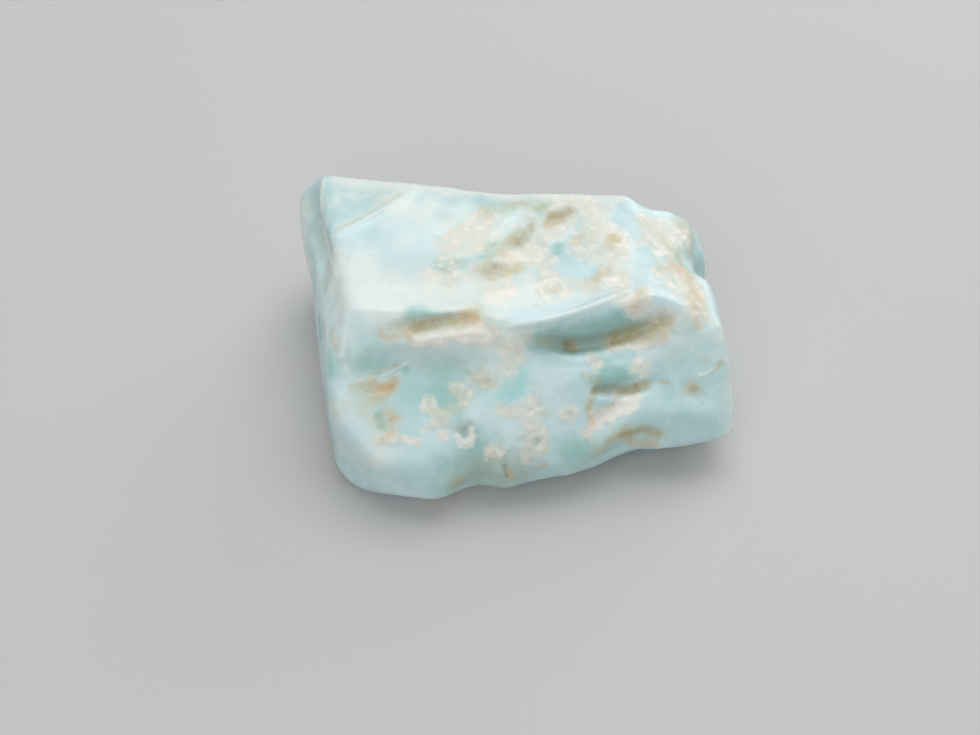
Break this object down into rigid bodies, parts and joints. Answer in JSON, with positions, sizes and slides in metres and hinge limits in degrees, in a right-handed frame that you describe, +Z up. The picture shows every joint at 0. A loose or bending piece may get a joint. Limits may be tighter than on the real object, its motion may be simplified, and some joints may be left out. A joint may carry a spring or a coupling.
{
  "type": "rough larimar stone",
  "caption": "Tumbled rough lump of larimar with a flat top, an overhanging front ledge and rounded edges, resting on a worn flat sole as a display or collector's stone.",
  "frame": {"origin": "on the surface the stone rests on, under the middle of its bounding box", "axes": "+X along the stone to its rounded right end, +Y away from its long front face, +Z up"},
  "size_m": [0.045, 0.034, 0.017],
  "materials": {
    "larimar": "waxy tumbled polish with dull chalky patches"
  },
  "bodies": {
    "root": {"larimar_stone": "larimar"}
  },
  "joints": []
}
